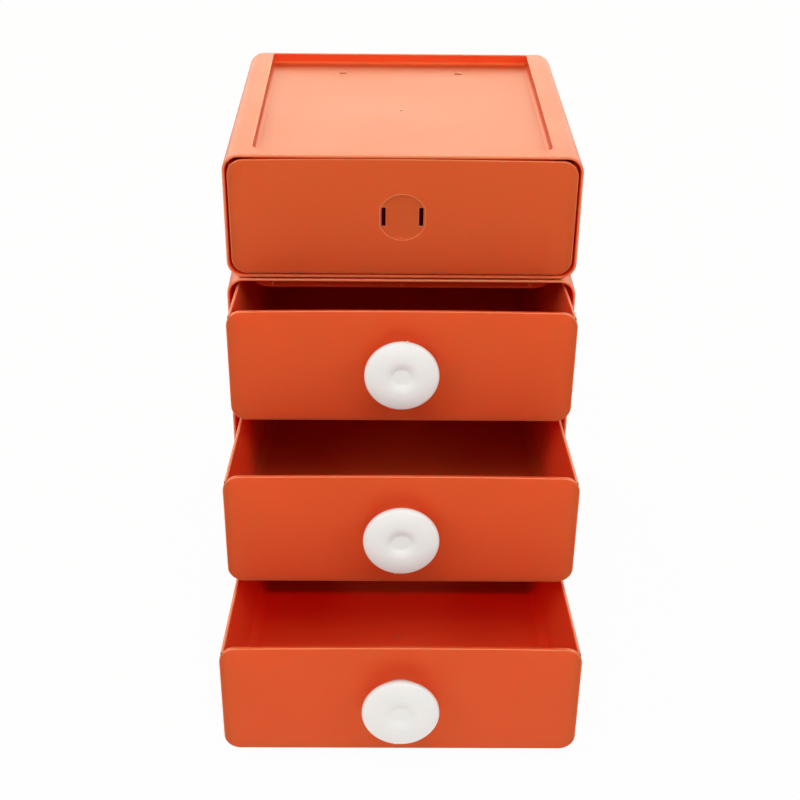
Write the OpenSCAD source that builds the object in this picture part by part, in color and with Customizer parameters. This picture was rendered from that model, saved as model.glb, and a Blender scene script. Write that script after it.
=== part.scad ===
// Desktop mini drawers: a stack of four identical modules.
// A module is an open-fronted casing with a dropped tray in its top, and a one-piece drawer.
// Each casing stands with its foot ring in the tray of the casing below, and lifts off.
// The lower three drawers carry a round knob, clipped through two slots. The top one is bare.
//
// Frame: +Z up, the drawers open towards -Y, and Z = 0 is the surface the stack stands on.
// The origin is the middle of the overall box, on that surface, with the drawers as set below.
// A casing is drawn with its front rim at Y = 0 and the underside of its base at Z = 0,
// and place() puts it into the stack.

/* [Casing] */
// Width of the casing across its top
casing_w = 180; // [150:1:240]
// How much narrower the casing is at its base than at its top, both sides together
casing_draft = 1.4; // [0.4:0.2:3]
// Height of the casing, without its foot
casing_h = 65.4; // [52:0.2:90]
// Depth of the casing, front rim to back
casing_d = 186; // [150:1:240]
// Outside radius of the casing's four long edges
casing_r = 8.5; // [5:0.5:12]
// Wall thickness of the casing
casing_wall = 1.4; // [1:0.1:2.4]

/* [Tray] */
// Depth of the tray in the top of the casing
tray_depth = 6; // [4:0.5:9]
// Width of the rim on each side of the tray
tray_side = 14.6; // [13:0.2:20]
// Width of the rim in front of the tray
tray_front = 8.2; // [6:0.2:14]
// Width of the rim behind the tray
tray_back = 2.2; // [1.6:0.2:6]
// Plan radius of the tray's two front corners
tray_r = 8; // [3:0.5:12]
// Plan radius of the tray's two back corners
tray_back_r = 1.2; // [0.8:0.2:4]

/* [Tray details] */
// Distance of each raised pad in the tray from the middle
pad_x = 33.9; // [20:0.1:50]
// Distance of the raised pads from the back of the casing
pad_back = 21; // [12:0.5:40]
// Width of a raised pad
pad_w = 4.2; // [2:0.2:8]
// Depth of a raised pad, front to back
pad_d = 3; // [2:0.2:6]
// Height of a raised pad
pad_h = 0.6; // [0.3:0.1:1]
// Distance of each outer stop rib under the front rim from the middle
stop_x = 66.4; // [40:0.2:70]
// Thickness of a stop rib
stop_t = 1; // [0.8:0.1:2]
// How far a stop rib hangs below the rim
stop_h = 3.2; // [2:0.1:5]
// Radius of the moulding gate's nub, in the tray and on the drawer floor
gate_r = 0.9; // [0.6:0.1:1.5]
// Height of that nub
gate_h = 0.3; // [0.2:0.1:0.5]

/* [Foot] */
// Gap between two stacked casings
stack_gap = 1; // [0.6:0.1:2]
// Clearance all round between a foot ring and the tray it stands in
foot_clearance = 0.6; // [0.3:0.1:1.5]
// Wall thickness of the foot ring
foot_wall = 1.6; // [1.2:0.1:3]

/* [Drawer panel] */
// Gap between panel and casing wall at each side, at the top
panel_gap = 1; // [0.5:0.1:2]
// Gap between the middle of the panel's top edge and the casing above it
panel_gap_top = 0.4; // [0.3:0.1:1]
// Gap between the panel and the casing's base below it
panel_gap_base = 0.8; // [0.5:0.1:2]
// How much narrower the panel is at its base than at its top, both sides together
panel_draft = 1.8; // [0.4:0.2:4]
// Corner radius of the panel
panel_r = 8; // [4:0.5:10]
// How much the panel's top edge rises from its corners to its middle
panel_crown = 0.7; // [0.2:0.1:1.2]
// Thickness of the panel
panel_t = 2; // [1.6:0.1:3]

/* [Drawer box] */
// Length of the drawer, front of panel to outside of back wall
drawer_len = 181; // [140:1:184]
// Wall and floor thickness of the drawer box
drawer_wall = 1.5; // [1:0.1:2.4]
// How far the box stands in from the panel's edge at each side
box_inset = 0.8; // [0.4:0.1:2]
// How far each side wall closes in from front to back
box_taper = 7; // [6:0.2:9]
// Height of the middle of the panel's top edge above the side walls' top
box_drop = 3.5; // [3:0.1:8]
// Outside radius between the floor and the side walls
box_r = 7; // [3:0.5:10]
// Outside plan radius of the two back corners
box_back_r = 6; // [3:0.5:10]
// Running clearance of the box on the casing's base
run_gap = 0.3; // [0.2:0.1:0.5]
// Clearance between the back wall's top and the tray above it
tray_gap = 0.4; // [0.3:0.1:1.5]
// Length of the lowered stretch of the walls at the back, which passes under the tray
low_len = 12; // [8:1:30]
// Clearance between the closed panel's back and the stop ribs
stop_gap = 0.3; // [0.2:0.1:1]

/* [Knob seat] */
// Radius of the round knob seat in the panel
seat_r = 12.1; // [10:0.1:15]
// Distance between the seat's two upright flats
seat_flats = 22.5; // [19:0.1:24]
// Depth of the seat
seat_depth = 0.6; // [0.4:0.1:0.8]
// Width of the thin raised bead round the seat
bead_w = 0.4; // [0.2:0.05:0.8]
// Height of that bead
bead_h = 0.12; // [0.05:0.01:0.3]
// Distance between the middles of the two slots
slot_pitch = 19; // [16:0.1:20]
// Width of a slot
slot_w = 2.15; // [1.6:0.05:3]
// Height of a slot
slot_h = 9.7; // [6:0.1:12]
// Height of the seat's centre below the top of the casing
seat_below_top = 32.4; // [26:0.1:40]

/* [Knob] */
// Diameter of the knob's disc
knob_d = 37.5; // [30:0.5:44]
// Thickness of the disc at its rim
knob_rim_t = 4; // [3:0.1:6]
// Radius of the disc's rim, front and back
knob_edge_r = 1.8; // [1:0.1:1.9]
// How far the face is crowned above its rim
knob_crown = 1; // [0.4:0.1:2]
// Diameter of the flat in the middle of the dimple
dimple_flat_d = 8.8; // [6:0.1:12]
// Diameter of the dimple where it leaves the face
dimple_d = 13.4; // [12.6:0.1:18]
// Depth of the dimple below the crown
dimple_depth = 1.3; // [0.6:0.1:2]
// Length of the neck, panel's front to the back of the disc
neck_len = 8; // [6:0.5:14]
// Clearance of the neck in its seat, all round
neck_clearance = 0.3; // [0.2:0.05:0.5]
// Radius of the hollow inside the neck
neck_core_r = 7; // [4:0.5:7.5]
// Clearance of a clip's leg in its slot, all round
clip_clearance = 0.2; // [0.1:0.05:0.4]
// How far a clip's hook reaches past its leg
hook_reach = 0.8; // [0.5:0.1:1.2]
// Height of a clip's hook behind the panel
hook_h = 2; // [1.2:0.1:3]

/* [Drawers pulled out] */
// How far drawer 1, the lowest, is pulled out
pull_1 = 132; // [0:1:150]
// How far drawer 2 is pulled out
pull_2 = 83; // [0:1:150]
// How far drawer 3 is pulled out
pull_3 = 35; // [0:1:150]
// How far drawer 4, the highest, is pulled out
pull_4 = 0; // [0:1:150]

/* [Hidden] */

$fn = 64;
orange = "#D8592F";
white = "#EFEEEA";
cut = 1;              // how far a cutting solid runs past the face that it opens
lap = 1;              // how far a solid reaches into the one that it grows from
least_r = 0.4;        // smallest radius of an inside corner
pull = [pull_1, pull_2, pull_3, pull_4];

// Stack
foot_h = tray_depth + stack_gap;
pitch = casing_h + stack_gap;
knob_out = neck_len + knob_rim_t + knob_crown;
knob_pull = max(pull_1, pull_2, pull_3) + knob_out;
front_y = -max(knob_pull, pull_4);
centre_y = (casing_d + front_y) / 2;

// Casing
casing_base_w = casing_w - casing_draft;
tray_w = casing_w - 2 * tray_side;
tray_len = casing_d - tray_front - tray_back;
tray_floor_z = casing_h - tray_depth;
tray_under_z = tray_floor_z - casing_wall;
stop_front_y = panel_t + stop_gap;

// Drawer, in the casing's frame when it is shut
panel_w = casing_w - 2 * (casing_wall + panel_gap);
panel_base_w = panel_w - panel_draft;
panel_z = casing_wall + panel_gap_base;
panel_h = casing_h - casing_wall - panel_gap_top - panel_z;
panel_slope = panel_draft / 2 / panel_h;
panel_side_h = panel_h - panel_crown;
panel_arc_half = panel_w / 2 - panel_r - lap;
panel_arc_r = (panel_arc_half * panel_arc_half + panel_crown * panel_crown) / 2 / panel_crown;
box_z = casing_wall + run_gap;
box_top_z = panel_z + panel_h - box_drop;
back_top_z = tray_under_z - tray_gap;
box_angle = atan(box_taper / (drawer_len - panel_t));
side_play = 0.2;      // how far the plan outline stands off the drafted side walls
seat_z = casing_h - seat_below_top;

// Knob, drawn with the panel's front at Y = 0 and its axis at X = Z = 0
disc_back_y = -neck_len;
clip_t = slot_w - 2 * clip_clearance;
clip_w = slot_h - 2 * clip_clearance;
crown_r_mid = (knob_d / 2 - knob_edge_r + dimple_d / 2) / 2;
nub_angle = 82;       // where the knob's gate nub stands, from +X towards the top
nub_r = 0.7;
nub_out = 0.5;
neck_floor = 1;       // thickness of the neck's closed end, in front of which the disc begins

// ---- Outlines ----

// A quadrilateral that is symmetric about Y, with its near edge on Y = 0, and rounded corners.
// Each corner is a true arc that runs tangent into both of its edges.
module round_quad(near_w, far_w, len, near_r, far_r) {
    slope = (far_w - near_w) / 2 / len;
    lean = sqrt(1 + slope * slope);
    near_c = [near_w / 2 + slope * near_r - near_r * lean, near_r];
    far_c = [far_w / 2 - slope * far_r - far_r * lean, len - far_r];
    out = [1, -slope] / lean;
    half = [[near_c.x, 0], near_c + near_r * out, far_c + far_r * out, [far_c.x, len]];
    polygon([
        for (p = half) p,
        for (i = [len(half) - 1 : -1 : 0]) [-half[i].x, half[i].y]
    ]);
    for (side = [-1, 1]) {
        translate([side * near_c.x, near_c.y]) circle(near_r);
        translate([side * far_c.x, far_c.y]) circle(far_r);
    }
}

// Extrudes an outline drawn in X and Z along +Y
module along_y(depth) {
    rotate([90, 0, 0]) mirror([0, 0, 1]) linear_extrude(depth) children();
}

// Plan outline of the tray, grown by the given margin
module tray_outline(margin) {
    translate([0, tray_front - margin])
        round_quad(tray_w + 2 * margin, tray_w + 2 * margin, tray_len + 2 * margin,
                   tray_r + margin, tray_back_r + margin);
}

// ---- Casing ----

// Everything that is hollow behind the front rim, before the tray drops into it
module casing_cavity() {
    inner_r = casing_r - casing_wall;
    translate([0, -cut, casing_wall])
        along_y(casing_d - casing_wall + cut)
            round_quad(casing_base_w - 2 * casing_wall, casing_w - 2 * casing_wall,
                       casing_h - 2 * casing_wall, inner_r, inner_r);
}

// The tray's floor and walls, as a block that the recess then hollows
module tray_block() {
    translate([0, 0, tray_under_z])
        linear_extrude(casing_h - tray_under_z)
            intersection() {
                tray_outline(casing_wall);
                translate([-casing_w / 2, 0]) square([casing_w, casing_d - casing_wall / 2]);
            }
}

// Three short ribs under the front rim, which the shut drawer's panel stops against
module stop_ribs() {
    for (x = [-stop_x, 0, stop_x])
        translate([x - stop_t / 2, stop_front_y, casing_h - casing_wall - stop_h])
            cube([stop_t, tray_front - stop_front_y, stop_h + casing_wall / 2]);
}

// The ring under the base that stands in the tray below
module foot_ring() {
    translate([0, 0, -foot_h])
        linear_extrude(foot_h + casing_wall / 2)
            difference() {
                tray_outline(-foot_clearance);
                translate([0, tray_front + foot_clearance + foot_wall])
                    round_quad(tray_w - 2 * (foot_clearance + foot_wall),
                               tray_w - 2 * (foot_clearance + foot_wall),
                               tray_len - 2 * (foot_clearance + foot_wall),
                               tray_r - foot_clearance - foot_wall,
                               max(least_r, tray_back_r - foot_clearance - foot_wall));
            }
}

module casing_shell() {
    difference() {
        along_y(casing_d)
            round_quad(casing_base_w, casing_w, casing_h, casing_r, casing_r);
        difference() {
            casing_cavity();
            tray_block();
            stop_ribs();
        }
        translate([0, 0, tray_floor_z])
            linear_extrude(tray_depth + cut) tray_outline(0);
    }
    foot_ring();
    for (side = [-1, 1])
        translate([side * pad_x - pad_w / 2, casing_d - pad_back - pad_d / 2, tray_floor_z])
            cube([pad_w, pad_d, pad_h]);
    translate([0, casing_d / 2, tray_floor_z]) cylinder(r = gate_r, h = gate_h);
}

// ---- Drawer ----

// One long solid with drafted sides and a rounded floor, whose sides close in towards the back.
// It is swept along each side wall's own line, so that the floor radius stays the same all along.
module tapered_trough(shrink, len, top_z) {
    base_w = panel_base_w - 2 * (box_inset + shrink);
    r = box_r - shrink;
    run_past = len / 4;
    for (side = [-1, 1])
        intersection() {
            translate([side * base_w / 2, 0, box_z + shrink])
                rotate([0, 0, side * box_angle])
                    translate([-side * base_w / 2, -run_past, 0])
                        along_y(len + 2 * run_past)
                            round_quad(base_w, base_w + 2 * panel_slope * casing_h, casing_h,
                                       r, r);
            translate([min(0, side * casing_w), 0, 0]) cube([casing_w, len, top_z]);
        }
}

// Plan outline of the box, with its two rounded back corners. Its front ones lie in the panel.
module box_plan(shrink, len) {
    front_w = panel_w - 2 * (box_inset + shrink - side_play);
    back_w = front_w - 2 * tan(box_angle) * len;
    r = box_back_r - shrink;
    round_quad(front_w, back_w, len, least_r, r);
}

module drawer_box() {
    difference() {
        intersection() {
            tapered_trough(0, drawer_len, box_top_z);
            linear_extrude(casing_h) box_plan(0, drawer_len);
        }
        intersection() {
            tapered_trough(drawer_wall, drawer_len, casing_h);
            linear_extrude(casing_h) box_plan(drawer_wall, drawer_len - drawer_wall);
        }
        low_back();
    }
}

// What is cut off the top of the box at the back, sloping down at 45 degrees in front
module low_back() {
    slope_h = casing_h - back_top_z;
    translate([-casing_w / 2, drawer_len - low_len, back_top_z])
        rotate([90, 0, 90])
            linear_extrude(casing_w)
                polygon([[0, 0], [low_len + cut, 0], [low_len + cut, slope_h], [-slope_h, slope_h]]);
}

// Outline of the knob seat, a circle with two upright flats, shrunk by a clearance
module seat_outline(clearance) {
    intersection() {
        circle(seat_r - clearance);
        square([seat_flats - 2 * clearance, 2 * (seat_r - clearance)], center = true);
    }
}

// Outline of the panel. Its top edge is a long shallow arc between the two rounded corners.
module panel_outline() {
    round_quad(panel_base_w, panel_w, panel_side_h, panel_r, panel_r);
    intersection() {
        translate([0, panel_h - panel_arc_r]) circle(panel_arc_r, $fn = 1440);
        translate([-panel_arc_half, panel_side_h - panel_r])
            square([2 * panel_arc_half, panel_r + panel_crown]);
    }
}

module drawer_moulding() {
    difference() {
        union() {
            translate([0, 0, panel_z]) along_y(panel_t) panel_outline();
            translate([0, -bead_h, seat_z]) along_y(bead_h + lap) seat_outline(-bead_w);
            drawer_box();
        }
        translate([0, -cut, seat_z]) along_y(seat_depth + cut) seat_outline(0);
        for (side = [-1, 1])
            translate([side * slot_pitch / 2 - slot_w / 2, -cut, seat_z - slot_h / 2])
                cube([slot_w, panel_t + 2 * cut, slot_h]);
    }
    translate([0, drawer_len / 2, box_z + drawer_wall]) cylinder(r = gate_r, h = gate_h);
}

// ---- Knob ----

// Half section of the disc: a rounded rim, a crowned face and a dimple with a flat floor.
// X is the radius, and Y is the distance in front of the panel.
module disc_section() {
    rim_r = knob_d / 2;
    back = neck_len;
    rim = neck_len + knob_rim_t;
    face = rim + knob_crown;
    crown_half = rim_r - knob_edge_r - crown_r_mid;
    arc_r = (crown_half * crown_half + knob_crown * knob_crown) / 2 / knob_crown;
    difference() {
        union() {
            translate([0, back]) square([rim_r - knob_edge_r, knob_rim_t]);
            translate([0, back + knob_edge_r]) square([rim_r, knob_rim_t - 2 * knob_edge_r]);
            for (y = [back + knob_edge_r, rim - knob_edge_r])
                translate([rim_r - knob_edge_r, y]) circle(knob_edge_r);
            intersection() {
                translate([crown_r_mid, face - arc_r]) circle(arc_r, $fn = 128);
                translate([0, rim - lap]) square([rim_r - knob_edge_r, knob_crown + lap]);
            }
            translate([0, back]) square([crown_r_mid, knob_rim_t + knob_crown]);
        }
        polygon([
            [-cut, face - dimple_depth],
            [dimple_flat_d / 2, face - dimple_depth],
            [dimple_d / 2, face],
            [dimple_d / 2, face + cut],
            [-cut, face + cut]
        ]);
        translate([-cut - rim_r, 0]) square([cut + rim_r, face + cut]);
    }
}

// A flat leg through its slot, with a hook behind the panel
module clip(side) {
    leg_x = side * slot_pitch / 2;
    hook_y = panel_t + clip_clearance;
    translate([leg_x - clip_t / 2, seat_depth - lap, -clip_w / 2])
        cube([clip_t, hook_y + hook_h - seat_depth + lap, clip_w]);
    translate([leg_x + side * clip_t / 2, hook_y, -clip_w / 2])
        linear_extrude(clip_w)
            polygon([[-side * clip_t / 2, 0], [side * hook_reach, 0], [-side * clip_t / 2, hook_h]]);
}

module knob_moulding() {
    difference() {
        union() {
            rotate([90, 0, 0]) rotate_extrude($fn = 96) disc_section();
            translate([0, disc_back_y - lap, 0])
                along_y(neck_len + lap + seat_depth) seat_outline(neck_clearance);
        }
        translate([0, disc_back_y + neck_floor, 0])
            along_y(neck_len + seat_depth) circle(neck_core_r);
    }
    for (side = [-1, 1]) clip(side);
    translate([cos(nub_angle), 0, sin(nub_angle)] * (knob_d / 2 - nub_r)
              + [0, disc_back_y - knob_rim_t / 2, 0])
        rotate([0, 90 - nub_angle, 0]) cylinder(r = nub_r, h = nub_r + nub_out);
}

// ---- Stack ----

// Puts a module's own frame at its place in the stack, counted from 1 at the bottom
module place(level) {
    translate([0, -centre_y, foot_h + (level - 1) * pitch]) children();
}

module casing(level) {
    color(orange) place(level) casing_shell();
}

module drawer(level) {
    color(orange) place(level) translate([0, -pull[level - 1], 0]) drawer_moulding();
}

// The clips are alike, so a knob also goes in upside down, which turns its nub to the bottom
module knob(level, upside_down) {
    color(white) place(level)
        translate([0, -pull[level - 1], seat_z])
            rotate([0, upside_down ? 180 : 0, 0]) knob_moulding();
}

casing(1);  // casing_1
casing(2);  // casing_2
casing(3);  // casing_3
casing(4);  // casing_4
drawer(1);  // drawer_1
drawer(2);  // drawer_2
drawer(3);  // drawer_3
drawer(4);  // drawer_4
knob(1, true);  // knob_1
knob(2, true);  // knob_2
knob(3, false);  // knob_3
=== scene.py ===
"""Looks of a stack of four desktop mini drawers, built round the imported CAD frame.

Each casing and each drawer is one satin polypropylene moulding, and the three knobs are glossy
ABS. Every piece is a closed surface worked out from its outlines and sections, with the small
roundings that a moulding tool leaves, and stands for the CAD node of the same size.

Lengths inside the classes are in millimetres. Meshes are made in metres, in the CAD frame.
"""
import logging
import math
from dataclasses import dataclass, replace
from enum import Enum
from typing import Any, Iterable

import bmesh
import bpy
import numpy as np
from mathutils import Matrix, Vector
from mathutils.geometry import tessellate_polygon


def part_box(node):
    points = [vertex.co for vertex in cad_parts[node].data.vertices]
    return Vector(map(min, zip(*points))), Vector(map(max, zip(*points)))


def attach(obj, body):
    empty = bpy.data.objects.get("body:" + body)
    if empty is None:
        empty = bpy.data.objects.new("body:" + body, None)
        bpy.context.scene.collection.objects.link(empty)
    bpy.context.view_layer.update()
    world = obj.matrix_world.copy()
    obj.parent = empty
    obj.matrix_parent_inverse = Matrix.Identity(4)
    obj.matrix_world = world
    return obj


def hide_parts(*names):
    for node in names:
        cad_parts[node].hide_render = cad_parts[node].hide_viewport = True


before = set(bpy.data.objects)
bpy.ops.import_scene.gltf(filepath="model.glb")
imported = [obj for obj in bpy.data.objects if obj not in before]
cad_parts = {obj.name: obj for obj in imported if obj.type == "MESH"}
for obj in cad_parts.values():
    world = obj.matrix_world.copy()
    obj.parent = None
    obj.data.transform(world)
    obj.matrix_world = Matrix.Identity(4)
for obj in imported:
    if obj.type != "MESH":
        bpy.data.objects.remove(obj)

LOG = logging.getLogger("mini_drawers")
MM = 0.001
# Keeps a divisor off zero
TINY = 1e-6
# Weight at which large faces rule the normals that they share with small ones
LARGE_FACES = 100
WARM_WHITE = "#FFF0D2"
# Sockets of a Mix node for colours, as their names stand on several of its sockets
MIX_A, MIX_B, MIX_RESULT = 6, 7, 2


# ---- Colours and node trees ----

def linear_rgba(hex_colour: str) -> tuple[float, float, float, float]:
    """Turns an sRGB hex colour into the linear colour that a shader takes.

    Args:
        hex_colour: The colour as "#RRGGBB".

    Returns:
        Linear red, green and blue, and an alpha of 1.
    """
    srgb = np.array([int(hex_colour[i:i + 2], 16) for i in (1, 3, 5)]) / 255
    linear = np.where(srgb <= 0.04045, srgb / 12.92, ((srgb + 0.055) / 1.055) ** 2.4)
    return (*linear.tolist(), 1.0)


def add_node(tree: bpy.types.NodeTree, kind: str, settings: dict[str, Any] | None = None,
             **links: bpy.types.NodeSocket) -> bpy.types.Node:
    """Adds a node to a tree, with its settings and its links.

    Args:
        tree: The node tree.
        kind: The node's Blender type.
        settings: Values by name. A name that is an input of the node sets that input, and any
            other name sets the node's own property.
        links: Output sockets by the name of the input that they feed. An underscore in a name
            stands for a space.

    Returns:
        The new node.
    """
    made = tree.nodes.new(kind)
    for name, value in (settings or {}).items():
        if name in made.inputs:
            made.inputs[name].default_value = value
        else:
            setattr(made, name, value)
    for name, source in links.items():
        tree.links.new(source, made.inputs[name.replace("_", " ")])
    return made


def empty_material(name: str) -> tuple[bpy.types.Material, bpy.types.NodeTree]:
    """Makes a material with an empty node tree, and returns both."""
    material = bpy.data.materials.new(name)
    material.use_nodes = True
    material.node_tree.nodes.clear()
    return material, material.node_tree


def add_noise(tree: bpy.types.NodeTree, feature_mm: float, detail: float) -> bpy.types.NodeSocket:
    """Adds a noise whose features are that many millimetres on the object."""
    place = add_node(tree, "ShaderNodeTexCoord").outputs["Object"]
    settings = {"Scale": 1 / (feature_mm * MM), "Detail": detail}
    return add_node(tree, "ShaderNodeTexNoise", settings, Vector=place).outputs["Fac"]


def add_relief(tree: bpy.types.NodeTree, feature_mm: float, depth_mm: float,
               strength: float) -> bpy.types.NodeSocket:
    """Adds a noise that works as a shallow relief, and returns the normal that it gives."""
    settings = {"Strength": strength, "Distance": depth_mm * MM}
    height = add_noise(tree, feature_mm, detail=1.0)
    return add_node(tree, "ShaderNodeBump", settings, Height=height).outputs["Normal"]


# ---- Finishes ----

@dataclass(frozen=True)
class SatinPolypropylene:
    """Polypropylene, injection moulded against a finely spark-eroded tool.

    The tool's fine pits leave a satin skin with a broad soft highlight. The plastic is slightly
    translucent: red light goes furthest in it, so shade on it turns a deep red and thin rims
    glow. Where the melt flowed, the tone drifts very slightly over some centimetres. The crests
    of rounded edges get a paler colour: a painted highlight for the light that those edges catch.
    """

    name: str = "satin_polypropylene"
    flow_light: str = "#ED5830"
    flow_dark: str = "#E7522B"
    # Painted highlight on the crests of rounded edges: its colour, and how far it covers the tone
    painted_highlight_colour: str = "#FFA680"
    painted_highlight_share: float = 0.6
    roughness: float = 0.45
    roughness_spread: float = 0.05
    ior: float = 1.49
    gloss_level: float = 0.7
    flow_mm: float = 45.0
    # The real grain is about 0.05 mm, too fine to show, so it is drawn ten times as coarse
    grain_mm: float = 0.5
    grain_depth_mm: float = 0.004
    grain_strength: float = 0.5
    scatter_share: float = 0.75
    scatter_mm: tuple[float, float, float] = (8.0, 0.5, 0.3)
    sheen_colour: str = "#FFC85A"

    def material(self) -> bpy.types.Material:
        """Builds the material and returns it."""
        made, tree = empty_material(self.name)
        flow = add_noise(tree, self.flow_mm, detail=2.0)
        tone = add_node(tree, "ShaderNodeMix", {"data_type": "RGBA"}, Factor=flow)
        tone.inputs[MIX_A].default_value = linear_rgba(self.flow_dark)
        tone.inputs[MIX_B].default_value = linear_rgba(self.flow_light)
        # Painted highlight: the paler colour is mixed in where the shell's layer marks edge crests
        painted_highlight = add_node(tree, "ShaderNodeAttribute", {"attribute_name": Shell.painted_highlight_layer})
        highlight_mix = add_node(tree, "ShaderNodeMapRange", {"To Max": self.painted_highlight_share},
                        Value=painted_highlight.outputs["Fac"])
        tone_and_highlight = add_node(tree, "ShaderNodeMix", {"data_type": "RGBA"},
                         Factor=highlight_mix.outputs["Result"])
        tree.links.new(tone.outputs[MIX_RESULT], tone_and_highlight.inputs[MIX_A])
        tone_and_highlight.inputs[MIX_B].default_value = linear_rgba(self.painted_highlight_colour)
        polish = add_node(
            tree, "ShaderNodeMapRange",
            {"To Min": self.roughness - self.roughness_spread,
             "To Max": self.roughness + self.roughness_spread},
            Value=flow)
        pits = add_relief(tree, self.grain_mm, self.grain_depth_mm, self.grain_strength)
        skin = add_node(
            tree, "ShaderNodeBsdfPrincipled",
            {"IOR": self.ior,
             "Subsurface Weight": self.scatter_share,
             "Subsurface Radius": self.scatter_mm,
             "Subsurface Scale": MM,
             "Specular IOR Level": self.gloss_level,
             "Specular Tint": linear_rgba(self.sheen_colour)},
            Base_Color=tone_and_highlight.outputs[MIX_RESULT],
            Roughness=polish.outputs["Result"],
            Normal=pits)
        add_node(tree, "ShaderNodeOutputMaterial", Surface=skin.outputs["BSDF"])
        return made


@dataclass(frozen=True)
class GlossAbs:
    """ABS, injection moulded against a polished tool.

    The skin mirrors soft lamps as broad clean highlights, broken only by the faint waviness
    that shrinkage leaves. Light spreads a couple of millimetres in the white, which softens
    the shade in the dish.
    """

    name: str = "gloss_abs"
    colour: str = "#F4F3EF"
    roughness: float = 0.22
    ior: float = 1.53
    wave_mm: float = 6.0
    wave_depth_mm: float = 0.01
    wave_strength: float = 0.4
    scatter_share: float = 0.6
    scatter_mm: tuple[float, float, float] = (2.0, 1.8, 1.7)

    def material(self) -> bpy.types.Material:
        """Builds the material and returns it."""
        made, tree = empty_material(self.name)
        waviness = add_relief(tree, self.wave_mm, self.wave_depth_mm, self.wave_strength)
        skin = add_node(
            tree, "ShaderNodeBsdfPrincipled",
            {"Base Color": linear_rgba(self.colour),
             "Roughness": self.roughness,
             "IOR": self.ior,
             "Subsurface Weight": self.scatter_share,
             "Subsurface Radius": self.scatter_mm,
             "Subsurface Scale": MM},
            Normal=waviness)
        add_node(tree, "ShaderNodeOutputMaterial", Surface=skin.outputs["BSDF"])
        return made


class Slot(Enum):
    """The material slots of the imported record."""

    ORANGE = "orange_plastic"
    WHITE = "white_plastic"


def linked_object(name: str, data: bpy.types.ID) -> bpy.types.Object:
    """Makes an object of a mesh, a lamp or a camera, and links it to the scene."""
    made = bpy.data.objects.new(name, data)
    bpy.context.scene.collection.objects.link(made)
    return made


# ---- Outlines ----

def level_at(points: np.ndarray, z: float | np.ndarray) -> np.ndarray:
    """Lays outline points (x, y) level at a height."""
    return np.column_stack([points, np.broadcast_to(z, len(points))])


def upright_at(points: np.ndarray, y: float) -> np.ndarray:
    """Stands outline points (x, z) upright at a distance from the front."""
    return np.column_stack([points[:, 0], np.full(len(points), y), points[:, 1]])


def quarter_turn(steps: int = 5) -> list[tuple[float, float]]:
    """Pairs of sine and cosine at evenly spaced angles from 0 to 90 degrees."""
    turn = np.linspace(0, math.pi / 2, steps + 1)
    return list(zip(np.sin(turn), np.cos(turn)))


@dataclass(frozen=True)
class RoundedQuad:
    """A four-sided outline, symmetric about X = 0 and rounded at its corners by true arcs.

    Its near edge lies at the given start, and its far edge one length further on.
    """

    near_w: float
    far_w: float
    start: float
    length: float
    near_r: float
    far_r: float
    arc_steps: int = 12
    least_r: float = 0.15

    @property
    def slope(self) -> float:
        """How far each side moves out for each millimetre of length."""
        return (self.far_w - self.near_w) / 2 / self.length

    @property
    def per_arc(self) -> int:
        """Number of points on one corner's arc."""
        return self.arc_steps + 1

    def inset(self, distance: float) -> "RoundedQuad":
        """The outline whose edges lie that much further in, or further out if it is negative."""
        lean = math.hypot(1, self.slope)
        return replace(
            self,
            near_w=self.near_w + 2 * distance * (self.slope - lean),
            far_w=self.far_w - 2 * distance * (self.slope + lean),
            start=self.start + distance,
            length=self.length - 2 * distance,
            near_r=max(self.near_r - distance, self.least_r),
            far_r=max(self.far_r - distance, self.least_r))

    def half_width(self, along: np.ndarray | float) -> np.ndarray | float:
        """Half of the width at a distance along the outline's length."""
        return self.near_w / 2 + self.slope * (along - self.start)

    def points(self) -> np.ndarray:
        """Points round the outline, from the near edge's right end over the far edge.

        Each corner is an arc about a centre that lies one radius from both of its edges. The
        left half is the right half mirrored.
        """
        lean = math.hypot(1, self.slope)
        tilt = math.atan(self.slope)
        near_x = self.near_w / 2 + self.near_r * (self.slope - lean)
        far_x = self.far_w / 2 - self.far_r * (self.slope + lean)
        near_turn = np.linspace(-math.pi / 2, -tilt, self.per_arc)
        far_turn = np.linspace(-tilt, math.pi / 2, self.per_arc)
        right = np.vstack([
            np.column_stack([near_x + self.near_r * np.cos(near_turn),
                             self.start + self.near_r * (1 + np.sin(near_turn))]),
            np.column_stack([far_x + self.far_r * np.cos(far_turn),
                             self.start + self.length + self.far_r * (np.sin(far_turn) - 1)])])
        return np.vstack([right, right[::-1] * (-1, 1)])


# ---- Surfaces ----

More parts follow.
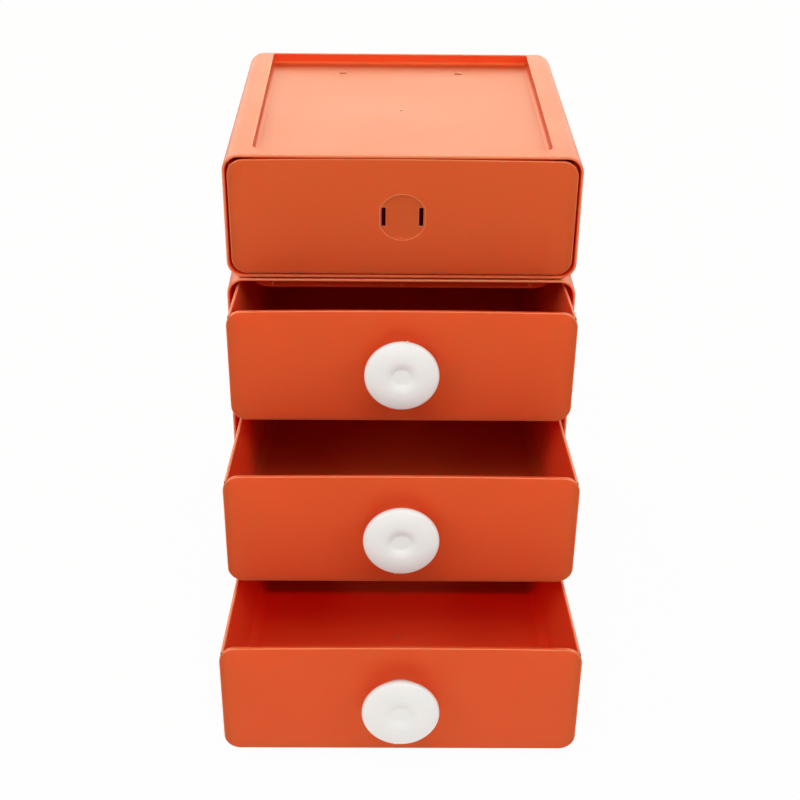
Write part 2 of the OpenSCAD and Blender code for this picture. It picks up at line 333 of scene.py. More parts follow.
class Shell:
    """The closed surface of one moulding, gathered in millimetres and welded at the end.

    Grids and flats share the points of their common edges, so the weld leaves no seam open.
    Each point carries its share of painted highlight: 1 on the crest of a rounded edge, 0 on
    flats.
    """

    weld_mm = 0.002
    crease_deg = 40.0
    # The painted highlight on edge crests: its layer's name, and over how many rows it fades
    painted_highlight_layer = "painted_highlight"
    painted_highlight_rows = 2
    peg_steps = 3
    # Rows on the crest of a rounded edge that starts a grid, and at the tip of a peg, which get
    # the painted highlight
    edge_crest = (2, 3)
    peg_crest = (3, 4)
    gate_r = 0.9
    gate_h = 0.3
    gate_round = 0.15
    gate_arc = 6

    def __init__(self) -> None:
        """Starts with no faces."""
        self.vertices: list[np.ndarray] = []
        self.painted_highlight: list[np.ndarray] = []
        self.faces: list[tuple[int, ...]] = []
        self.count = 0

    def add(self, points: np.ndarray, faces: np.ndarray,
            painted_highlight: np.ndarray | float = 0.0) -> None:
        """Adds points and the faces between them, numbered from the first of those points."""
        self.vertices.append(points)
        self.painted_highlight.append(np.broadcast_to(painted_highlight, len(points)))
        self.faces.extend(tuple(face) for face in (faces + self.count).tolist())
        self.count += len(points)

    def add_grid(self, rows: Iterable[np.ndarray] | np.ndarray, wrap: bool = True,
                 crests: Iterable[int] = ()) -> None:
        """Spans quads between the rows of a grid.

        Args:
            rows: The rows, each an array of shape (columns, 3).
            wrap: Whether the last column is joined to the first.
            crests: Numbers of the rows in the middle of a rounded edge. The painted highlight
            falls from 1 there to nothing over the shell's set number of rows for it.
        """
        points = np.stack(list(rows))
        height, width, _ = points.shape
        index = np.arange(height * width).reshape(height, width)
        after = np.roll(index, -1, axis=1)
        if not wrap:
            index, after = index[:, :-1], after[:, :-1]
        quads = np.stack([index[:-1], after[:-1], after[1:], index[1:]], axis=-1)
        # Painted highlight: 1 on the crest rows, fading to 0 over the rows beside them
        away = np.min([np.abs(np.arange(height) - crest) for crest in (*crests, math.inf)], axis=0)
        painted_highlight = np.repeat(np.clip(1 - away / self.painted_highlight_rows, 0, 1), width)
        self.add(points.reshape(-1, 3), quads.reshape(-1, 4), painted_highlight)

    def add_flat(self, outline: np.ndarray, *holes: np.ndarray) -> None:
        """Fills a flat outline with triangles, and leaves its holes open."""
        loops = [outline, *holes]
        filled = tessellate_polygon([[Vector(p) for p in loop] for loop in loops])
        self.add(np.vstack(loops), np.array(filled))

    def add_capped(self, rows: list[np.ndarray] | np.ndarray,
                   crests: Iterable[int] = ()) -> None:
        """Spans a grid, and closes its first and last rows with flats."""
        self.add_flat(rows[0])
        self.add_grid(rows, crests=crests)
        self.add_flat(rows[-1])

    def add_peg(self, outline: RoundedQuad, root: float, tip: float, edge: float,
                x: float = 0.0) -> None:
        """A short upright peg on a level outline, which turns inwards at its rounded tip.

        Args:
            outline: The peg's plan outline, drawn about X = 0.
            root: Height at which it starts, inside the moulding.
            tip: Height at which it ends, above or below the root.
            edge: Radius of its rounded end.
            x: How far it stands to the right of the middle.
        """
        toward = math.copysign(edge, tip - root)
        rows = [level_at(outline.points(), root)]
        rows += [level_at(outline.inset(edge * (1 - c)).points(), tip - toward * (1 - s))
                 for s, c in quarter_turn(self.peg_steps)]
        self.add_capped([row + (x, 0, 0) for row in rows], crests=self.peg_crest)

    def add_gate(self, y: float, floor: float, wall: float) -> None:
        """The nub that the moulding's gate leaves: a low round peg at that Y on a floor."""
        radius, width = self.gate_r, 2 * self.gate_r
        outline = RoundedQuad(width, width, y - radius, width, radius, radius, self.gate_arc)
        self.add_peg(outline, floor - wall / 2, floor + self.gate_h, self.gate_round)

    def mesh(self, name: str, origin: Vector) -> bpy.types.Mesh:
        """Welds the surface and makes it a smooth mesh with its faces turned outwards.

        Args:
            name: The mesh's name.
            origin: Where the shell's own origin lies in the CAD frame, in metres.

        Returns:
            The new mesh.
        """
        made = bpy.data.meshes.new(name)
        made.from_pydata(np.vstack(self.vertices) * MM + np.array(origin), [], self.faces)
        # Stores each point's painted highlight for the material to read
        layer = made.attributes.new(self.painted_highlight_layer, "FLOAT", "POINT")
        layer.data.foreach_set("value", np.concatenate(self.painted_highlight).astype(np.float32))
        work = bmesh.new()
        work.from_mesh(made)
        bmesh.ops.remove_doubles(work, verts=work.verts, dist=self.weld_mm * MM)
        bmesh.ops.recalc_face_normals(work, faces=work.faces)
        open_edges = sum(not edge.is_manifold for edge in work.edges)
        if open_edges:
            LOG.warning("%s: %d edges are open", name, open_edges)
        work.to_mesh(made)
        work.free()
        made.polygons.foreach_set("use_smooth", np.ones(len(made.polygons), bool))
        made.set_sharp_from_angle(angle=math.radians(self.crease_deg))
        return made


def show_piece(shell: Shell, origin: Vector, node: str, body: str,
               material: bpy.types.Material) -> None:
    """Makes a shell the piece that stands for a CAD node and moves with its body.

    Args:
        shell: The surface of the piece.
        origin: Where the shell's own origin lies in the CAD frame, in metres.
        node: The CAD node that it stands for.
        body: The CAD body that it rides on.
        material: Its finish.
    """
    mesh = shell.mesh(f"{node}_mesh", origin)
    mesh.materials.append(material)
    made = linked_object(f"{node}_moulding", mesh)
    normals = made.modifiers.new("flat_faces", "WEIGHTED_NORMAL")
    normals.weight = LARGE_FACES
    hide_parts(node)
    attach(made, body)
    LOG.info("%s: %d faces", made.name, len(mesh.polygons))


# ---- Casings ----

@dataclass
class Casing:
    """An open-fronted casing with a dropped tray in its top and a foot ring under its base.

    Its own frame has the front rim at Y = 0 and the underside of its base at Z = 0.
    """

    level: int
    top_w: float = 180.0
    # How much narrower the base is than the top
    draft: float = 1.4
    height: float = 65.4
    depth: float = 186.0
    corner_r: float = 8.5
    wall: float = 1.4
    tray_depth: float = 6.0
    tray_side: float = 14.6
    tray_front: float = 8.2
    tray_back: float = 2.2
    tray_r: float = 8.0
    tray_back_r: float = 1.2
    rim_round: float = 0.55
    # Rows of the rim's grid that get the painted highlight: those on its outer half
    rim_crest: tuple[int, ...] = (2, 3, 4, 5)
    mouth_round: float = 0.45
    back_round: float = 1.0
    tray_round: float = 0.5
    tray_fillet: float = 2.0
    ledge_round: float = 0.4
    ledge_steps: int = 4
    stop_x: float = 66.4
    stop_t: float = 1.0
    stop_front: float = 2.3
    stop_drop: float = 3.2
    stop_corner_r: float = 0.2
    stop_round: float = 0.3
    pad_x: float = 33.9
    # From the back of the casing to the middle of a pad
    pad_back: float = 21.0
    pad_w: float = 4.2
    pad_d: float = 3.0
    pad_h: float = 0.6
    pad_corner_r: float = 0.3
    pad_round: float = 0.45
    small_arc: int = 3
    foot_h: float = 7.0
    foot_clearance: float = 0.6
    foot_wall: float = 1.6
    foot_outer_round: float = 1.25
    foot_inner_round: float = 0.3

    @property
    def section(self) -> RoundedQuad:
        """Upright outline of the outside, a little narrower at the base."""
        return RoundedQuad(self.top_w - self.draft, self.top_w, 0, self.height,
                           self.corner_r, self.corner_r)

    @property
    def tray(self) -> RoundedQuad:
        """Plan outline of the tray."""
        width = self.top_w - 2 * self.tray_side
        return RoundedQuad(width, width, self.tray_front,
                           self.depth - self.tray_front - self.tray_back,
                           self.tray_r, self.tray_back_r)

    @property
    def tray_floor(self) -> float:
        """Height of the tray's floor."""
        return self.height - self.tray_depth

    def ring(self, inset: float, y: float) -> np.ndarray:
        """The outside's outline, inset, at a distance from the front."""
        return upright_at(self.section.inset(inset).points(), y)

    def add_outside(self, shell: Shell) -> None:
        """Back wall, outer skin and front rim.

        The outline is carried from the back to the front. At the back and on both sides of
        the rim it turns through a quarter circle, with its inset as one minus the sine or the
        cosine. The top's flat is left out between the rims and filled round the tray.
        """
        back, rim, mouth = self.back_round, self.rim_round, self.mouth_round
        back_rows = [self.ring(back * (1 - s), self.depth - back * (1 - c))
                     for s, c in quarter_turn()]
        rim_rows = [self.ring(rim * (1 - c), rim * (1 - s)) for s, c in quarter_turn()]
        rim_rows += [self.ring(self.wall - mouth * (1 - s), mouth * (1 - c))
                     for s, c in quarter_turn()]
        shell.add_flat(back_rows[0])
        shell.add_grid(back_rows)
        shell.add_grid(rim_rows, crests=self.rim_crest)
        top = 2 * self.section.per_arc
        skin = [np.roll(row, -top, axis=0) for row in (back_rows[-1], rim_rows[0])]
        shell.add_grid(skin, wrap=False)
        corners = np.array([skin[1][-1], skin[0][-1], skin[0][0], skin[1][0]])
        grown = self.tray.inset(-self.tray_round).points()
        shell.add_flat(corners, level_at(grown, self.height))

    def add_tray(self, shell: Shell) -> None:
        """The recess: a rounded upper edge, an upright wall and a filleted floor."""
        edge, fillet = self.tray_round, self.tray_fillet
        rows = [level_at(self.tray.inset(-edge * (1 - s)).points(), self.height - edge * (1 - c))
                for s, c in quarter_turn()]
        rows += [level_at(self.tray.inset(fillet * (1 - c)).points(),
                          self.tray_floor + fillet * (1 - s)) for s, c in quarter_turn()]
        shell.add_grid(rows, crests=shell.edge_crest)
        shell.add_flat(rows[-1])

    def block_row(self, grown: float, z: float) -> np.ndarray:
        """The outline of the tray's underside, from its left end at the back round the front."""
        outline = self.tray.inset(-grown)
        arc = self.tray.per_arc
        near_left, near_right = outline.points()[3 * arc:], outline.points()[:arc]
        back_y = self.depth - self.wall
        left, right = ([side * outline.near_w / 2, back_y] for side in (-1, 1))
        return level_at(np.vstack([[left], near_left, near_right, [right]]), z)

    def add_inside(self, shell: Shell) -> None:
        """Inner skin, ceiling, the underside of the tray and the inside of the back wall.

        The tray's underside is the tray's outline grown by the wall, open at the back, where
        it runs into the back wall. Its lower edge turns through a quarter circle.
        """
        edge, back_y = self.ledge_round, self.depth - self.wall
        under = self.tray_floor - self.wall
        block = [self.block_row(self.wall, self.height - self.wall)]
        block += [self.block_row(self.wall - edge * (1 - c), under + edge * (1 - s))
                  for s, c in quarter_turn(self.ledge_steps)]
        top = 2 * self.section.per_arc
        front, back = (np.roll(self.ring(self.wall, y), -top, axis=0)
                       for y in (self.mouth_round, back_y))
        shell.add_grid([front, back], wrap=False)
        shell.add_grid(block, wrap=False)
        shell.add_flat(block[-1])
        shell.add_flat(np.vstack([front[-1:], back[-1:], block[0][::-1], back[:1], front[:1]]))
        left = np.array([row[0] for row in block])
        right = np.array([row[-1] for row in block])
        shell.add_flat(np.vstack([back, right, left[::-1]]))

    def add_foot(self, shell: Shell) -> None:
        """The foot ring: an upright bar carried round inside the tray's outline.

        Its lower outer edge is rounded enough to pass the fillet of the tray that it stands in.
        """
        out_r, in_r, outer = self.foot_outer_round, self.foot_inner_round, self.foot_clearance
        inner = outer + self.foot_wall
        root = self.wall / 2
        profile = [(outer, root)]
        profile += [(outer + out_r * (1 - c), out_r * (1 - s) - self.foot_h)
                    for s, c in quarter_turn()]
        profile += [(inner - in_r * (1 - s), in_r * (1 - c) - self.foot_h)
                    for s, c in quarter_turn()]
        profile += [(inner, root), (outer, root)]
        shell.add_grid([level_at(self.tray.inset(inset).points(), z) for inset, z in profile])

    def add_details(self, shell: Shell) -> None:
        """The tray's two pads, its gate nub, and the three stop ribs under the front rim."""
        sunk = self.tray_floor - self.wall / 2
        pad = RoundedQuad(self.pad_w, self.pad_w, self.depth - self.pad_back - self.pad_d / 2,
                          self.pad_d, self.pad_corner_r, self.pad_corner_r, self.small_arc)
        for x in (-self.pad_x, self.pad_x):
            shell.add_peg(pad, sunk, self.tray_floor + self.pad_h, self.pad_round, x)
        shell.add_gate(self.depth / 2, self.tray_floor, self.wall)
        under = self.height - self.wall
        rib = RoundedQuad(self.stop_t, self.stop_t, self.stop_front,
                          self.tray_front - self.stop_front,
                          self.stop_corner_r, self.stop_corner_r, self.small_arc)
        root, tip = under + self.wall / 2, under - self.stop_drop
        for x in (-self.stop_x, 0, self.stop_x):
            shell.add_peg(rib, root, tip, self.stop_round, x)

    def build(self, material: bpy.types.Material) -> None:
        """Makes the piece and gives it its finish."""
        node = f"casing_{self.level}"
        low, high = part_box(node)
        origin = Vector(((low.x + high.x) / 2, low.y, low.z + self.foot_h * MM))
        shell = Shell()
        self.add_outside(shell)
        self.add_tray(shell)
        self.add_inside(shell)
        self.add_foot(shell)
        self.add_details(shell)
        show_piece(shell, origin, node, node, material)


# ---- Drawers ----

@dataclass
class Drawer:
    """A one-piece drawer: a panel with a knob seat, and a box that narrows towards the back.

    Its own frame has the front of the panel at Y = 0 and the underside of the casing's base at
    Z = 0, as when the drawer is shut.
    """

    level: int
    panel_w: float = 175.2
    panel_draft: float = 1.8
    panel_z: float = 2.2
    panel_h: float = 61.4
    panel_r: float = 8.0
    panel_crown: float = 0.7
    crown_points: int = 25
    panel_t: float = 2.0
    front_round: float = 0.5
    rear_round: float = 0.3
    length: float = 181.0
    wall: float = 1.5
    # How far the box's sides stand in from the panel's, and close in from front to back
    inset: float = 0.8
    taper: float = 7.0
    box_z: float = 1.7
    box_top: float = 60.1
    floor_r: float = 7.0
    floor_steps: int = 8
    front_r: float = 1.0
    back_r: float = 6.0
    rim_round: float = 0.45
    rim_steps: int = 4
    # Rows of the box's grid on the crest of its rim, which get the painted highlight
    rim_crest: tuple[int, ...] = (11, 12, 13, 14, 15, 16)
    # Height and length of the lowered part at the back
    low_top: float = 57.6
    low_len: float = 12.0
    seat_r: float = 12.1
    seat_flats: float = 22.5
    seat_depth: float = 0.6
    seat_points: int = 96
    bead_w: float = 0.4
    bead_h: float = 0.12
    bead_points: int = 7
    # Rows of the bead round the knob seat that get the painted highlight
    bead_crest: tuple[int, ...] = (2, 3, 4)
    seat_z: float = 33.0
    slot_pitch: float = 19.0
    slot_w: float = 2.15
    slot_h: float = 9.7
    slot_r: float = 0.25
    slot_round: float = 0.25
    slot_arc: int = 3
    slot_steps: int = 4

    @property
    def panel(self) -> RoundedQuad:
        """Upright outline of the panel without its crown, a little narrower at its base."""
        return RoundedQuad(self.panel_w - self.panel_draft, self.panel_w, self.panel_z,
                           self.panel_h - self.panel_crown, self.panel_r, self.panel_r)

    def panel_row(self, inset: float, y: float) -> np.ndarray:
        """The panel's whole outline, inset, at a distance from the front.

        Between the two upper corners the top edge rises by the crown times one minus the
        square of the way gone from the middle.
        """
        points = self.panel.inset(inset).points()
        half = len(points) // 2
        end_x, end_z = points[half - 1]
        x = np.linspace(end_x, -end_x, self.crown_points)[1:-1]
        top = np.column_stack([x, end_z + self.panel_crown * (1 - (x / end_x) ** 2)])
        return upright_at(np.vstack([points[:half], top, points[half:]]), y)

    def seat_row(self, grown: float, y: float) -> np.ndarray:
        """The knob seat: a circle whose left and right sides are cut off by upright flats."""
        turn = np.linspace(0, 2 * math.pi, self.seat_points, endpoint=False)
        radius, flat = self.seat_r + grown, self.seat_flats / 2 + grown
        return np.column_stack([np.clip(radius * np.cos(turn), -flat, flat),
                                np.full(len(turn), y),
                                self.seat_z + radius * np.sin(turn)])

    def slot_rows(self, side: int) -> list[np.ndarray]:
        """One of the two slots for the knob's clips, with its front edge rounded."""
        slot = RoundedQuad(self.slot_w, self.slot_w, self.seat_z - self.slot_h / 2,
                           self.slot_h, self.slot_r, self.slot_r, self.slot_arc)
        edge = self.slot_round
        rows = [upright_at(slot.inset(-edge * (1 - s)).points(),
                           self.seat_depth + edge * (1 - c))
                for s, c in quarter_turn(self.slot_steps)]
        rows.append(upright_at(slot.points(), self.panel_t))
        return [row + (side * self.slot_pitch / 2, 0, 0) for row in rows]

    def add_panel(self, shell: Shell) -> None:
        """The panel: a plate with rounded edges, a sunk knob seat and two slots through it.

        The bead round the seat is half an ellipse, carried round the seat's outline.
        """
        front, rear = self.front_round, self.rear_round
        rows = [self.panel_row(front * (1 - s), front * (1 - c)) for s, c in quarter_turn()]
        rows += [self.panel_row(rear * (1 - c), self.panel_t - rear * (1 - s))
                 for s, c in quarter_turn()]
        bead_turn = np.linspace(0, math.pi, self.bead_points)
        seat_rows = [self.seat_row(self.bead_w / 2 * (1 + math.cos(t)),
                                   -self.bead_h * math.sin(t)) for t in bead_turn]
        seat_rows.append(self.seat_row(0, self.seat_depth))
        slots = [self.slot_rows(side) for side in (-1, 1)]
        shell.add_flat(rows[0], seat_rows[0])
        shell.add_grid(rows, crests=shell.edge_crest)
        shell.add_grid(seat_rows, crests=self.bead_crest)
        shell.add_flat(seat_rows[-1], *(slot[0] for slot in slots))
        for slot in slots:
            shell.add_grid(slot, crests=shell.edge_crest)
        shell.add_flat(rows[-1], *(slot[-1] for slot in slots))

    def box_outline(self, z: float, inset: float) -> RoundedQuad:
        """Plan outline of the box at a height, inset.

        The side walls lean out with the panel's sides and close in towards the back.
        """
        lean = self.panel_draft / self.panel_h
        width = self.panel_w - self.panel_draft - 2 * self.inset + lean * (z - self.box_z)
        narrowing = 2 * self.length * self.taper / (self.length - self.panel_t)
        return RoundedQuad(width, width - narrowing, 0, self.length,
                           self.front_r, self.back_r).inset(inset)

    def box_row(self, inset: float, z: float, below_top: bool) -> np.ndarray:
        """One level of the box's wall, from inside the panel's right end round the back.

        Where the wall's top is lowered at the back, points set from the top go down with it,
        along a slope of 45 degrees.
        """
        outline = self.box_outline(z, inset)
        slope_end = self.length - self.low_len
        drop = self.box_top - self.low_top
        start = self.panel_t / 2
        side_y = np.array([start, slope_end - drop, slope_end])
        right = np.column_stack([outline.half_width(side_y), side_y])
        arcs = outline.points()[outline.per_arc:3 * outline.per_arc]
        path = np.vstack([right, arcs, right[::-1] * (-1, 1)])
        lowered = np.clip(path[:, 1] - (slope_end - drop), 0, drop) if below_top else 0.0
        return level_at(path, z - lowered)

    def add_box(self, shell: Shell) -> None:
        """The box: a wall with a rounded rim, carried round three sides, over a filleted floor.

        From the outer floor's edge the section turns up through a quarter circle, follows the
        wall to the rim, turns over it through two small quarter circles, and comes down the
        inside in the same way.
        """
        floor_turn, rim_turn = quarter_turn(self.floor_steps), quarter_turn(self.rim_steps)
        edge, top = self.rim_round, self.box_top
        floor_r, inner_r = self.floor_r, self.floor_r - self.wall
        floor_z = self.box_z + self.wall
        rows = [self.box_row(floor_r * (1 - s), self.box_z + floor_r * (1 - c), False)
                for s, c in floor_turn]
        rows += [self.box_row(edge * (1 - c), top - edge * (1 - s), True)
                 for s, c in rim_turn]
        rows += [self.box_row(self.wall - edge * (1 - s), top - edge * (1 - c), True)
                 for s, c in rim_turn]
        rows += [self.box_row(self.wall + inner_r * (1 - c), floor_z + inner_r * (1 - s), False)
                 for s, c in floor_turn]
        grid = np.array(rows)
        shell.add_grid(grid, wrap=False, crests=self.rim_crest)
        shell.add_flat(grid[0])
        shell.add_flat(grid[-1])
        shell.add_flat(np.vstack([grid[:, 0], grid[::-1, -1]]))
        shell.add_gate(self.length / 2, floor_z, self.wall)

    def build(self, material: bpy.types.Material) -> None:
        """Makes the piece and gives it its finish."""
        node = f"drawer_{self.level}"
        low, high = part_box(node)
        origin = Vector(((low.x + high.x) / 2, low.y + self.bead_h * MM,
                         low.z - self.box_z * MM))
        shell = Shell()
        self.add_panel(shell)
        self.add_box(shell)
        show_piece(shell, origin, node, node, material)


# ---- Knobs ----

class NubSide(Enum):
    """Which way up a knob sits, told by the gate nub on its rim."""

    TOP = 1
    BOTTOM = -1


@dataclass
class Knob:
    """A round knob on a flat-sided neck, held by two clips behind the panel.

    Distances named depth run from the front of the panel towards the user.
    """

    level: int
    nub_side: NubSide
    disc_d: float = 37.5
    rim_t: float = 4.0
    edge_r: float = 1.8
    crown: float = 1.0
    crest_r: float = 10.5
    flat_r: float = 4.3
    dimple_r: float = 9.2
    dimple_depth: float = 1.3
    dimple_ease: float = 1.7
    dimple_points: int = 18
    crown_points: int = 24
    # Angle at which the rim's rounded edge takes over from the face
    edge_start_deg: float = 75.0
    edge_points: int = 9
    neck_len: float = 8.0
    neck_r: float = 11.8
    neck_flat: float = 10.95
    neck_fillet: float = 0.6
    fillet_points: int = 5
    neck_edge: float = 0.15
    core_r: float = 7.0
    core_floor: float = 1.0
    core_edge: float = 0.3
    seat_depth: float = Drawer.seat_depth
    panel_t: float = Drawer.panel_t
    clip_x: float = Drawer.slot_pitch / 2
    clip_t: float = 1.75
    clip_w: float = 9.3
    clip_gap: float = 0.2
    clip_root: float = 1.0
    hook_reach: float = 0.8
    hook_h: float = 2.0
    hook_land: float = 0.3
    hook_tip: float = 0.4
    nub_deg: float = 82.0
    nub_r: float = 0.7
    nub_out: float = 0.5
    nub_dome: float = 0.15
    nub_points: int = 16
    dome_points: int = 4
    around: int = 144

    @property
    def rim_r(self) -> float:
        """Radius of the disc."""
        return self.disc_d / 2

    @property
    def face_r(self) -> float:
        """Radius at which the face runs into the rounded edge of the rim."""
        return self.rim_r - self.edge_r * (1 - math.cos(math.radians(self.edge_start_deg)))

    def face_depth(self, radius: np.ndarray) -> np.ndarray:
        """Depth of the face at each radius.

        A flat lies in the middle. From its edge the dimple rises by its depth times one minus
        a power of the way left to go. Past the crest the face falls by the crown times the
        square of the way gone.
        """
        edge_start = math.radians(self.edge_start_deg)
        fall = self.crown + self.edge_r * (1 - math.sin(edge_start))
        top = self.neck_len + self.rim_t + self.crown
        way_left = np.clip((self.dimple_r - radius) / (self.dimple_r - self.flat_r), 0, 1)
        way_gone = np.clip((radius - self.crest_r) / (self.face_r - self.crest_r), 0, 1)
        return top - self.dimple_depth * way_left ** self.dimple_ease - fall * way_gone ** 2

    def section(self) -> tuple[np.ndarray, np.ndarray, np.ndarray]:
        """Half section of the knob, from the middle of its face to the floor of its hollow.

        Returns:
            Radius, depth, and for each point whether it is on the flat-sided neck.
        """
        front, edge = self.neck_len + self.rim_t, self.edge_r
        face = np.concatenate([
            np.linspace(self.flat_r, self.dimple_r, self.dimple_points),
            np.linspace(self.dimple_r, self.face_r, self.crown_points)[1:-1]])
        front_turn = np.linspace(math.radians(self.edge_start_deg), 0, self.edge_points)
        back_turn = np.linspace(0, -math.pi / 2, self.edge_points)
        fillet_turn = np.linspace(math.pi / 2, math.pi, self.fillet_points)
        fillet_x = self.neck_r + self.neck_fillet
        fillet_y = self.neck_len - self.neck_fillet
        hollow, end = self.neck_len - self.core_floor, -self.seat_depth
        chamfer = self.neck_edge
        parts = [
            (face, self.face_depth(face), False),
            (self.rim_r - edge + edge * np.cos(front_turn),
             front - edge + edge * np.sin(front_turn), False),
            (self.rim_r - edge + edge * np.cos(back_turn),
             self.neck_len + edge + edge * np.sin(back_turn), False),
            (fillet_x + self.neck_fillet * np.cos(fillet_turn),
             fillet_y + self.neck_fillet * np.sin(fillet_turn), True),
            (np.array([self.neck_r, self.neck_r - chamfer, self.core_r + chamfer, self.core_r]),
             np.array([end + chamfer, end, end, end + chamfer]), True),
            (np.array([self.core_r, self.core_r - self.core_edge]),
             np.array([hollow - self.core_edge, hollow]), False),
        ]
        radius = np.concatenate([p[0] for p in parts])
        depth = np.concatenate([p[1] for p in parts])
        on_neck = np.concatenate([np.full(len(p[0]), p[2]) for p in parts])
        return radius, depth, on_neck

    def add_body(self, shell: Shell) -> None:
        """Disc and neck as one closed surface about the knob's own axis.

        The section turns about the axis. On the neck the radius is the section's, or where it
        is less, the distance of the upright flat along that direction.
        """
        radius, depth, on_neck = self.section()
        turn = np.linspace(0, 2 * math.pi, self.around, endpoint=False)
        to_flat = self.neck_flat / np.maximum(np.abs(np.cos(turn)), TINY)
        past_neck = np.maximum(radius - self.neck_r, 0)[:, None]
        flatted = np.minimum(radius[:, None], to_flat[None, :] + past_neck)
        ring = np.where(on_neck[:, None], flatted, radius[:, None])
        points = np.stack([ring * np.cos(turn), np.broadcast_to(-depth[:, None], ring.shape),
                           ring * np.sin(turn)], axis=-1)
        shell.add_capped(points)

    def add_clip(self, shell: Shell, side: int) -> None:
        """One clip: the outline of a leg and its hook, carried along the clip's width."""
        hook = self.panel_t + self.clip_gap
        inner, outer = self.clip_x - self.clip_t / 2, self.clip_x + self.clip_t / 2
        root, tip = self.seat_depth - self.clip_root, hook + self.hook_h
        reach = outer + self.hook_reach
        outline = np.array([[inner, root], [outer, root], [outer, hook], [reach, hook],
                            [reach, hook + self.hook_land], [inner + self.hook_tip, tip],
                            [inner, tip]])
        half = self.clip_w / 2
        shell.add_capped([level_at(outline * (side, 1), z) for z in (-half, half)])

    def add_nub(self, shell: Shell) -> None:
        """The gate nub on the rim: a short round pin with a domed end, standing outwards."""
        turn = np.linspace(0, 2 * math.pi, self.nub_points, endpoint=False)
        root = self.rim_r - self.nub_r
        tip = self.rim_r + self.nub_out
        dome = np.linspace(0, math.pi / 2, self.dome_points, endpoint=False)
        radius = np.concatenate([[self.nub_r], self.nub_r * np.cos(dome)])
        height = np.concatenate([[root], tip - self.nub_dome * (1 - np.sin(dome))])
        lean = math.radians(self.nub_deg) * self.nub_side.value
        out = np.array([math.cos(lean) * self.nub_side.value, 0.0, math.sin(lean)])
        across = np.array([-out[2], 0.0, out[0]])
        front = np.array([0.0, -1.0, 0.0])
        centre = front * (self.neck_len + self.rim_t / 2)
        points = (centre + height[:, None, None] * out
                  + radius[:, None, None] * np.cos(turn)[None, :, None] * across
                  + radius[:, None, None] * np.sin(turn)[None, :, None] * front)
        shell.add_capped(points)

    def axis_point(self) -> Vector:
        """The point where the knob's axis meets the front of its panel, from the CAD frame."""
        low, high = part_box(f"knob_{self.level}")
        panel_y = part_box(f"drawer_{self.level}")[0].y + Drawer.bead_h * MM
        radius = self.rim_r * MM
        height = low.z + radius if self.nub_side is NubSide.TOP else high.z - radius
        return Vector(((low.x + high.x) / 2, panel_y, height))

    def build(self, material: bpy.types.Material) -> None:
        """Makes the piece and gives it its finish."""
        shell = Shell()
        self.add_body(shell)
        self.add_nub(shell)
        for side in (-1, 1):
            self.add_clip(shell, side)
        show_piece(shell, self.axis_point(), f"knob_{self.level}", f"drawer_{self.level}",
                   material)


# ---- The stack ----

@dataclass
class Stack:
    """The four modules: each a casing and a drawer, and on the lower three a knob."""

    levels: int = 4
    nub_sides: tuple[NubSide, ...] = (NubSide.BOTTOM, NubSide.BOTTOM, NubSide.TOP)

    def build(self) -> None:
        """Builds every piece of the stack."""
        orange = SatinPolypropylene().material()
        white = GlossAbs().material()
        for level in range(1, self.levels + 1):
            Casing(level).build(orange)
            Drawer(level).build(orange)
        for level, nub_side in enumerate(self.nub_sides, start=1):
            Knob(level, nub_side).build(white)


# ---- Studio ----

@dataclass(frozen=True)
class Softbox:
    """A square soft lamp that faces a point of the object.

    One that is only seen in gloss works as the white sheet behind a set does: surfaces mirror
    it at a slant, and it adds no light of its own.
    """

    name: str
    place: tuple[float, float, float]
    size: float
    watts: float
    colour: str = "#FFFFFF"
    gloss_only: bool = False
    target: tuple[float, float, float] = (0.0, -0.05, 0.16)

    def build(self) -> None:
        """Adds the lamp to the scene."""
        data = bpy.data.lights.new(self.name, "AREA")
        data.shape = "SQUARE"
        data.size = self.size
        data.energy = self.watts
        data.color = linear_rgba(self.colour)[:3]
        lamp = linked_object(self.name, data)
        lamp.location = self.place
        lamp.visible_diffuse = not self.gloss_only
        facing = Vector(self.target) - Vector(self.place)
        lamp.rotation_euler = facing.to_track_quat("-Z", "Y").to_euler()


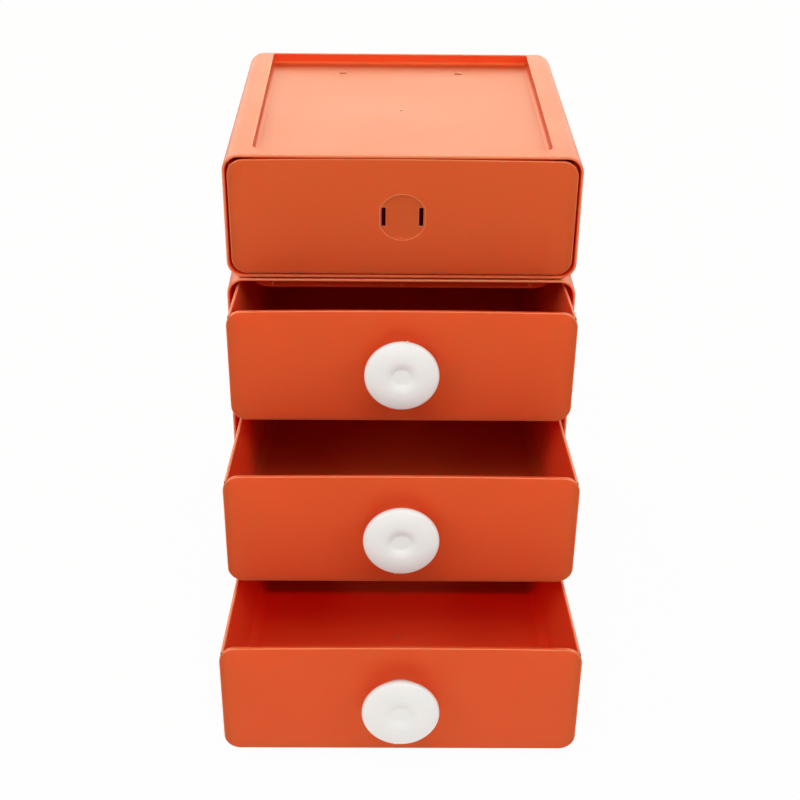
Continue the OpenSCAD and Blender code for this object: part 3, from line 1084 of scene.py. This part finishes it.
@dataclass(frozen=True)
class Studio:
    """A white room: a pale floor, soft lamps and a camera above the front of the stack."""

    floor_size: float = 12.0
    floor_white: str = "#F4F4F4"
    floor_glow_share: float = 0.97
    floor_light_share: float = 0.45
    world_strength: float = 0.1
    camera_place: tuple[float, float, float] = (-0.00947, -0.7500, 0.52335)
    camera_pitch_deg: float = 28.01
    camera_yaw_deg: float = 0.73
    camera_roll_deg: float = -0.66
    focal_px: float = 1545.6
    image_px: int = 800
    sensor_mm: float = 36.0
    clip_start_m: float = 0.01

    def seen_directly(self, tree: bpy.types.NodeTree) -> bpy.types.NodeSocket:
        """Adds nodes whose output is 1 for camera, glossy and transmission rays, else 0."""
        path = add_node(tree, "ShaderNodeLightPath")
        seen = path.outputs["Is Camera Ray"]
        for kind in ("Is Glossy Ray", "Is Transmission Ray"):
            either = add_node(tree, "ShaderNodeMath", {"operation": "MAXIMUM"})
            tree.links.new(seen, either.inputs[0])
            tree.links.new(path.outputs[kind], either.inputs[1])
            seen = either.outputs[0]
        return seen

    def build_floor(self) -> None:
        """A large white floor, nearly all self-lit where it is seen, so its shadow is faint."""
        half = self.floor_size / 2
        mesh = bpy.data.meshes.new("floor_mesh")
        mesh.from_pydata([(-half, -half, 0), (half, -half, 0), (half, half, 0), (-half, half, 0)],
                         [], [(0, 1, 2, 3)])
        floor = linked_object("floor", mesh)
        made, tree = empty_material("matt_white_paint")
        paint = add_node(tree, "ShaderNodeBsdfDiffuse",
                         {"Color": linear_rgba(self.floor_white)})
        glow = add_node(tree, "ShaderNodeEmission", {"Strength": 1.0})
        share = add_node(tree, "ShaderNodeMapRange",
                         {"To Min": self.floor_light_share, "To Max": self.floor_glow_share},
                         Value=self.seen_directly(tree))
        both = add_node(tree, "ShaderNodeMixShader")
        for socket, source in zip(both.inputs, (share, paint, glow)):
            tree.links.new(source.outputs[0], socket)
        add_node(tree, "ShaderNodeOutputMaterial", Surface=both.outputs[0])
        mesh.materials.append(made)

    def build_world(self) -> None:
        """A white surround, at full strength where it is seen and weaker as a light."""
        world = bpy.data.worlds.new("white_room")
        world.use_nodes = True
        tree = world.node_tree
        tree.nodes.clear()
        strength = add_node(tree, "ShaderNodeMapRange",
                            {"To Min": self.world_strength, "To Max": 1.0},
                            Value=self.seen_directly(tree))
        sky = add_node(tree, "ShaderNodeBackground", {"Color": (1, 1, 1, 1)},
                       Strength=strength.outputs["Result"])
        add_node(tree, "ShaderNodeOutputWorld", Surface=sky.outputs[0])
        bpy.context.scene.world = world

    def build_camera(self) -> None:
        """A long lens in front of the stack and above it, looking down at it."""
        data = bpy.data.cameras.new("camera")
        data.sensor_width = self.sensor_mm
        data.lens = self.focal_px / self.image_px * self.sensor_mm
        data.clip_start = self.clip_start_m
        camera = linked_object("camera", data)
        turned = Matrix.Translation(self.camera_place)
        for degrees, axis in ((-self.camera_yaw_deg, "Z"), (90 - self.camera_pitch_deg, "X"),
                              (-self.camera_roll_deg, "Z")):
            turned @= Matrix.Rotation(math.radians(degrees), 4, axis)
        camera.matrix_world = turned
        bpy.context.scene.camera = camera

    def build(self) -> None:
        """Builds floor, surround, lamps and camera."""
        self.build_floor()
        self.build_world()
        self.build_camera()
        for lamp in (
            Softbox("top_lamp", (0.0, -0.9, 1.7), size=1.2, watts=12.2),
            Softbox("left_lamp", (-1.4, -1.1, 1.25), size=0.7, watts=10.5),
            Softbox("right_lamp", (1.4, -1.1, 1.25), size=0.7, watts=9.0),
            Softbox("front_lamp", (0.0, -2.0, 0.3), size=1.2, watts=4.5),
            Softbox("back_left_lamp", (-1.4, 1.6, 1.1), size=1.0, watts=14.0, colour=WARM_WHITE),
            Softbox("back_right_lamp", (1.4, 1.6, 1.1), size=1.0, watts=11.0, colour=WARM_WHITE),
            Softbox("back_lamp", (0.0, 2.0, 1.35), size=1.2, watts=8.0, colour=WARM_WHITE),
            Softbox("back_sheet", (0.0, 2.4, 1.2), size=3.0, watts=50.0, colour=WARM_WHITE,
                    gloss_only=True),
        ):
            lamp.build()
        bpy.context.scene.view_settings.view_transform = "Standard"


def main() -> None:
    """Builds the studio and the stack."""
    logging.basicConfig(level=logging.INFO, format="%(name)s: %(message)s")
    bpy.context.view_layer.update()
    Studio().build()
    Stack().build()
    bpy.context.view_layer.update()


if __name__ == "__main__":
    main()
